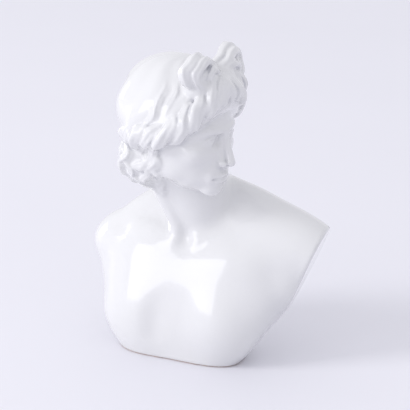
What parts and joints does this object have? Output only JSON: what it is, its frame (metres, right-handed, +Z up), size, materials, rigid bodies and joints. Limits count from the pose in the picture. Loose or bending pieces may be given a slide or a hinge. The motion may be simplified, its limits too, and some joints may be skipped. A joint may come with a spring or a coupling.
{
  "type": "classical ceramic bust",
  "caption": "Glazed white ceramic bust in the classical style, head turned to the side, standing on a foot cut flat below the chest.",
  "frame": {"origin": "middle of the flat foot, on the surface that the bust stands on", "axes": "+Z up, -Y the way the chest faces, +X towards the figure's left shoulder"},
  "size_m": [0.1909, 0.109, 0.2391],
  "materials": {
    "white_glaze": "gloss"
  },
  "bodies": {
    "root": {"bust": "white_glaze"}
  },
  "joints": []
}
